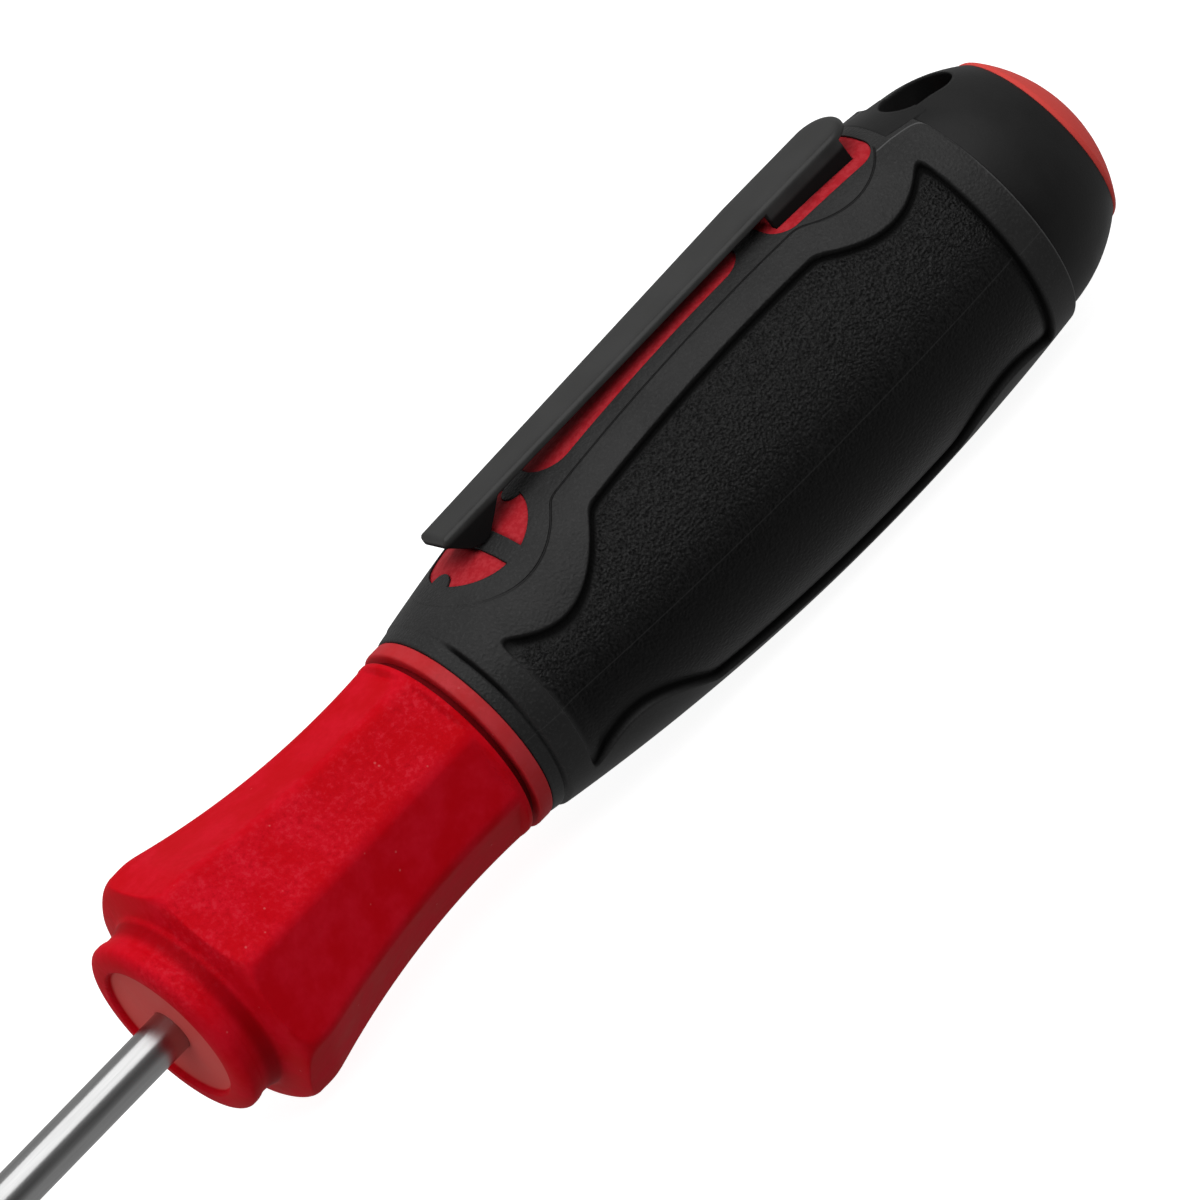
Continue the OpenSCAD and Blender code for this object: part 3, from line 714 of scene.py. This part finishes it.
def front_lip(x, turns, radii):
    """The lip at the grip's front, lower on the flanks, with a nick behind it."""
    flank = smooth_step(np.degrees(np.arccos(np.cos(turns))), 20.0, 42.0)
    lip = (0.03 + 0.13 * flank) * smooth_step(x, 29.3, 29.08)
    nick = 0.2 * flank * np.exp(-((x - 29.16) / 0.13) ** 2)
    return np.maximum(radii, 7.85 + (x - 29.1) * 0.17) - lip - nick


def tongue_dip(x, y, turns, radii):
    """The upper side lowered to the cap's tongue."""
    flush = np.interp(x, *np.transpose(TONGUE_TOP))
    upper = np.cos(turns) > 0.0
    return radii - np.maximum(radii - flush, 0.0) * smooth_step(np.abs(y), 4.6, 3.1) * upper


def grip_radii(x, turns):
    """The grip's outside at a station, with its relief and its rounded ends."""
    barrel = grip_radius(x)
    y = -barrel * np.sin(turns)
    radii = barrel - panel_depth(x, y)
    if x < LIP_REAR:
        radii = front_lip(x, turns, radii)
    if x > TONGUE_TOP[0][0]:
        radii = tongue_dip(x, y, turns, radii)
    gap = min(x - GRIP_FRONT, GRIP_REAR - x)
    if gap < END_ROUND:
        radii = radii - END_ROUND + math.sqrt(max(END_ROUND ** 2 - (END_ROUND - gap) ** 2, 0.0))
    return radii


def outline_prism(name, outline, low, high):
    """An upright prism over an outline seen from above."""
    count = len(outline)
    verts = [(x, y, h) for h in (low, high) for x, y in outline]
    faces = [tuple(range(count)), tuple(range(count, 2 * count))]
    faces += [(i, (i + 1) % count, count + (i + 1) % count, count + i) for i in range(count)]
    return piece(name, verts, faces, "soft_grip")


def round_rect(middle_x, length, width, r, count=10):
    """The outline of a rectangle with round corners, seen from above."""
    points = []
    for along, across, start in ((1, 1, 0), (-1, 1, 90), (-1, -1, 180), (1, -1, 270)):
        corner_y = across * (width / 2 - r)
        for x, y in plan_arc(middle_x + along * (length / 2 - r), r, start, start + 90, count):
            points.append((x, y + corner_y))
    return points


def sector(side):
    """Half of the round mark, without the bar across it and the notch at its end."""
    mark_r = 3.99
    points = plan_arc(0.0, mark_r, -79.75, -13.2, 26)
    points += plan_arc(3.95, 0.91, 265.9, 94.1, 18)[1:-1]
    points += plan_arc(0.0, mark_r, 13.2, 79.75, 26)
    return [(SYMBOL_X + side * x, side * y) for x, y in points]


def grip_cutters():
    """Prisms for the windows, the clip's root, the cap's tongue and the hang hole."""
    low = 1.0
    high = 14.0
    return [outline_prism("cut_front", sector(-1), low, high),
            outline_prism("cut_rear", sector(1), low, high),
            outline_prism("cut_long", round_rect(51.725, 20.03, 4.58, 2.289, 16), low, high),
            outline_prism("cut_root", round_rect(68.2, 9.18, 6.78, 1.64), low, high),
            outline_prism("cut_tongue", round_rect(75.72, 4.0, 5.74, 0.3, 6), low, high),
            outline_prism("cut_hole", round_rect(78.2, 5.2, 3.8, 1.899, 16), -high, high)]


def carve(obj, cutters):
    """Cut the cutters out of an object's mesh and remove them."""
    for cutter in cutters:
        cut = obj.modifiers.new(cutter.name, "BOOLEAN")
        cut.operation = "DIFFERENCE"
        cut.object = cutter
        cut.solver = "MANIFOLD"
    depsgraph = bpy.context.evaluated_depsgraph_get()
    carved = bpy.data.meshes.new_from_object(obj.evaluated_get(depsgraph))
    obj.modifiers.clear()
    obj.data = carved
    for cutter in cutters:
        bpy.data.objects.remove(cutter)


def grip():
    stations = grip_stations()
    verts = []
    for x in stations:
        turns = grip_turns(x)
        verts += turned(x, grip_radii(x, turns), turns)
    inner = np.linspace(GRIP_REAR, GRIP_FRONT, 40)
    for x in inner:
        verts += turned(x, grip_radius(x) - GRIP_THICKNESS, turns)
    rows = len(stations) + len(inner)
    obj = piece("grip_shell", verts, ring_faces(rows, len(turns)), "soft_grip")
    carve(obj, grip_cutters())
    finish_mesh(obj, "soft_grip", 32.0)
    return obj


# The clip: one bent sheet from its round rear end to the ears at its tip

# The ears' lower edge from the tip back, as stations and heights
EAR_FOOT = [(33.9, 10.45), (34.1, 10.3), (35.2, 9.25), (35.9, 8.97), (36.3, 8.93), (36.75, 9.02)]

# Points across the sheet's rounded edge, as distances from its side
EDGE_POINTS = [0.0, 0.03, 0.08, 0.15, 0.23, 0.32, TOP_ROUND]


def clip_stations():
    """Stations along the clip, close together at the tip, the ears, the flanges and the round end."""
    tip = CLIP_TIP + np.array([0.0, 0.03, 0.08, 0.15, 0.24, 0.34, 0.45, 0.5, 0.6])
    end_turns = [18, 22, 27, 33, 40, 47, 54, 61, 68, 74, 79, 83, 86, 88, 89.5]
    end_start = CLIP_END_X + CLIP_END_R * np.sin(np.radians(np.arange(0.0, 16.1, 2.0)))
    end = CLIP_END_X + CLIP_END_R * np.sin(np.radians(end_turns))
    return np.concatenate([tip, np.arange(34.7, 39.4, 0.1), np.arange(39.5, 64.3, 0.4), [64.33, 64.36, 64.4],
                           np.arange(64.6, CLIP_END_X, 0.3), end_start, [71.31], end])


def clip_row(x, flange_foot):
    """The sheet's section at a station: points across the clip and over the tool's axis."""
    taper = min(max((TAPER_X - x) / TAPER_LENGTH, 0.0), 1.0)
    top = CLIP_TOP - CLIP_DROP * taper
    half = CLIP_END_R - CLIP_NARROWING * taper
    if x < CLIP_TIP + TIP_CORNER:
        half -= TIP_CORNER - math.sqrt(max(TIP_CORNER ** 2 - (CLIP_TIP + TIP_CORNER - x) ** 2, 0.0))
    if x > CLIP_END_X:
        half = math.sqrt(CLIP_END_R ** 2 - (x - CLIP_END_X) ** 2)
    low = top - SHEET
    foot = low
    if x < EAR_REAR:
        foot = min(float(np.interp(x, *np.transpose(EAR_FOOT + [(EAR_REAR, low)]))), low)
    if FLANGE_FRONT <= x <= FLANGE_REAR:
        foot = flange_foot
    if x < CLIP_TIP + TIP_LENGTH:
        low = top - TIP_SHEET
        foot = min(foot, low)

    def height(y):
        """The top's height, rounded down to the sheet's edge."""
        edge = half - abs(y)
        if x > CLIP_END_X:
            edge = CLIP_END_R - math.hypot(x - CLIP_END_X, y)
        inset = TOP_ROUND - min(max(min(edge, x - CLIP_TIP), 0.0), TOP_ROUND)
        return top - (TOP_ROUND - math.sqrt(TOP_ROUND ** 2 - inset ** 2))

    inner = max(half - SHEET, 0.0)
    bevel = max(half - FOOT_BEVEL, 0.0)
    across = [max(half - edge, half * 0.6) for edge in EDGE_POINTS] + [half * 0.55, half * 0.25]
    near = [(-half, foot + 0.05), (-half, (foot + height(half)) / 2)]
    near += [(-y, height(y)) for y in across]
    far = [(-y, h) for y, h in reversed(near)]
    under = [(bevel, foot), (inner, foot), (inner, low), (-inner, low), (-inner, foot), (-bevel, foot)]
    return near + far + under


def clip():
    flange_low = (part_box("clip_root")[0][2] - AXIS_Z) / MM
    stations = clip_stations()
    rows = [clip_row(x, flange_low + FLANGE_LIFT) for x in stations]
    verts = [(x, y, h) for x, row in zip(stations, rows) for y, h in row]
    count = len(rows[0])
    faces = ring_faces(len(rows), count, closed=False)
    faces += [tuple(range(count)), tuple(range(len(verts) - count, len(verts)))]
    return piece("clip_sheet", verts, faces, "clip_black", 50.0)


# The pieces on their bodies
body_pieces = {"handle_core": [collar(), core_rear()], "grip": [grip()]}
for node, pieces in body_pieces.items():
    for obj in pieces:
        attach(obj, "handle")
        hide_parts(node)
clip_sheet = clip()
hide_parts("clip_root", "clip_arm")
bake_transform(clip_sheet)

# The floor
bpy.ops.mesh.primitive_plane_add(size=8.0)
floor = bpy.context.object
floor.name = "floor"
floor.data.materials.append(floor_white())
floor.visible_diffuse = False
floor.visible_glossy = False

# Lights and sky
LIGHT_AIM = Vector((0.02, 0.0, 0.0))
LIGHT_DISTANCE = 1.5
SKY_DIM_WAY = (-0.33, -0.94, 0.0)


def area_light(name, direction, size, power):
    """A round soft light that faces the tool from a direction."""
    data = bpy.data.lights.new(name, "AREA")
    data.shape = "DISK"
    data.size = size
    data.energy = power
    obj = bpy.data.objects.new(name, data)
    scene.collection.objects.link(obj)
    way = Vector(direction).normalized()
    obj.location = LIGHT_AIM + way * LIGHT_DISTANCE
    obj.rotation_euler = way.to_track_quat("Z", "Y").to_euler()


def sky():
    """A white sky that is dimmer towards the photographer's side."""
    world = bpy.data.worlds.new("world")
    scene.world = world
    world.use_nodes = True
    tree = world.node_tree
    way = tree.nodes.new("ShaderNodeTexCoord").outputs["Generated"]
    facing = tree.nodes.new("ShaderNodeVectorMath")
    facing.operation = "DOT_PRODUCT"
    facing.inputs[1].default_value = SKY_DIM_WAY
    tree.links.new(way, facing.inputs[0])
    dim = tree.nodes.new("ShaderNodeMapRange")
    dim.interpolation_type = "SMOOTHSTEP"
    for name, value in (("From Min", 0.5), ("From Max", 0.98), ("To Min", 0.4), ("To Max", 0.02)):
        dim.inputs[name].default_value = value
    tree.links.new(facing.outputs["Value"], dim.inputs["Value"])
    background = tree.nodes["Background"]
    background.inputs["Color"].default_value = grey(1.0)
    tree.links.new(dim.outputs[0], background.inputs["Strength"])


area_light("key", (0.1, -0.32, 0.94), 2.2, 21.8)
area_light("fill", (-0.93, -0.22, 0.28), 1.0, 3.5)
sky()
scene.view_settings.view_transform = "Standard"
scene.view_settings.look = "None"

# The camera, at the photo's viewing angle
CAMERA_PLACE = Vector((-0.41322, -1.25502, 0.63558))
CAMERA_RIGHT = Vector((0.6646, -0.5071, -0.5488))
CAMERA_BACK = Vector((-0.30, -0.853713, 0.425646))


def photo_camera():
    """A long lens, with its right-hand direction made square to its view."""
    data = bpy.data.cameras.new("camera")
    data.sensor_fit = "HORIZONTAL"
    data.sensor_width = 36.0
    data.lens = 695.5
    data.clip_start = 0.05
    data.clip_end = 50.0
    camera = bpy.data.objects.new("camera", data)
    scene.collection.objects.link(camera)
    back = CAMERA_BACK.normalized()
    right = CAMERA_RIGHT.normalized()
    right = (right - back * right.dot(back)).normalized()
    turn = Matrix((right, back.cross(right), back)).transposed().to_4x4()
    camera.matrix_world = Matrix.Translation(CAMERA_PLACE) @ turn
    return camera


scene.camera = photo_camera()
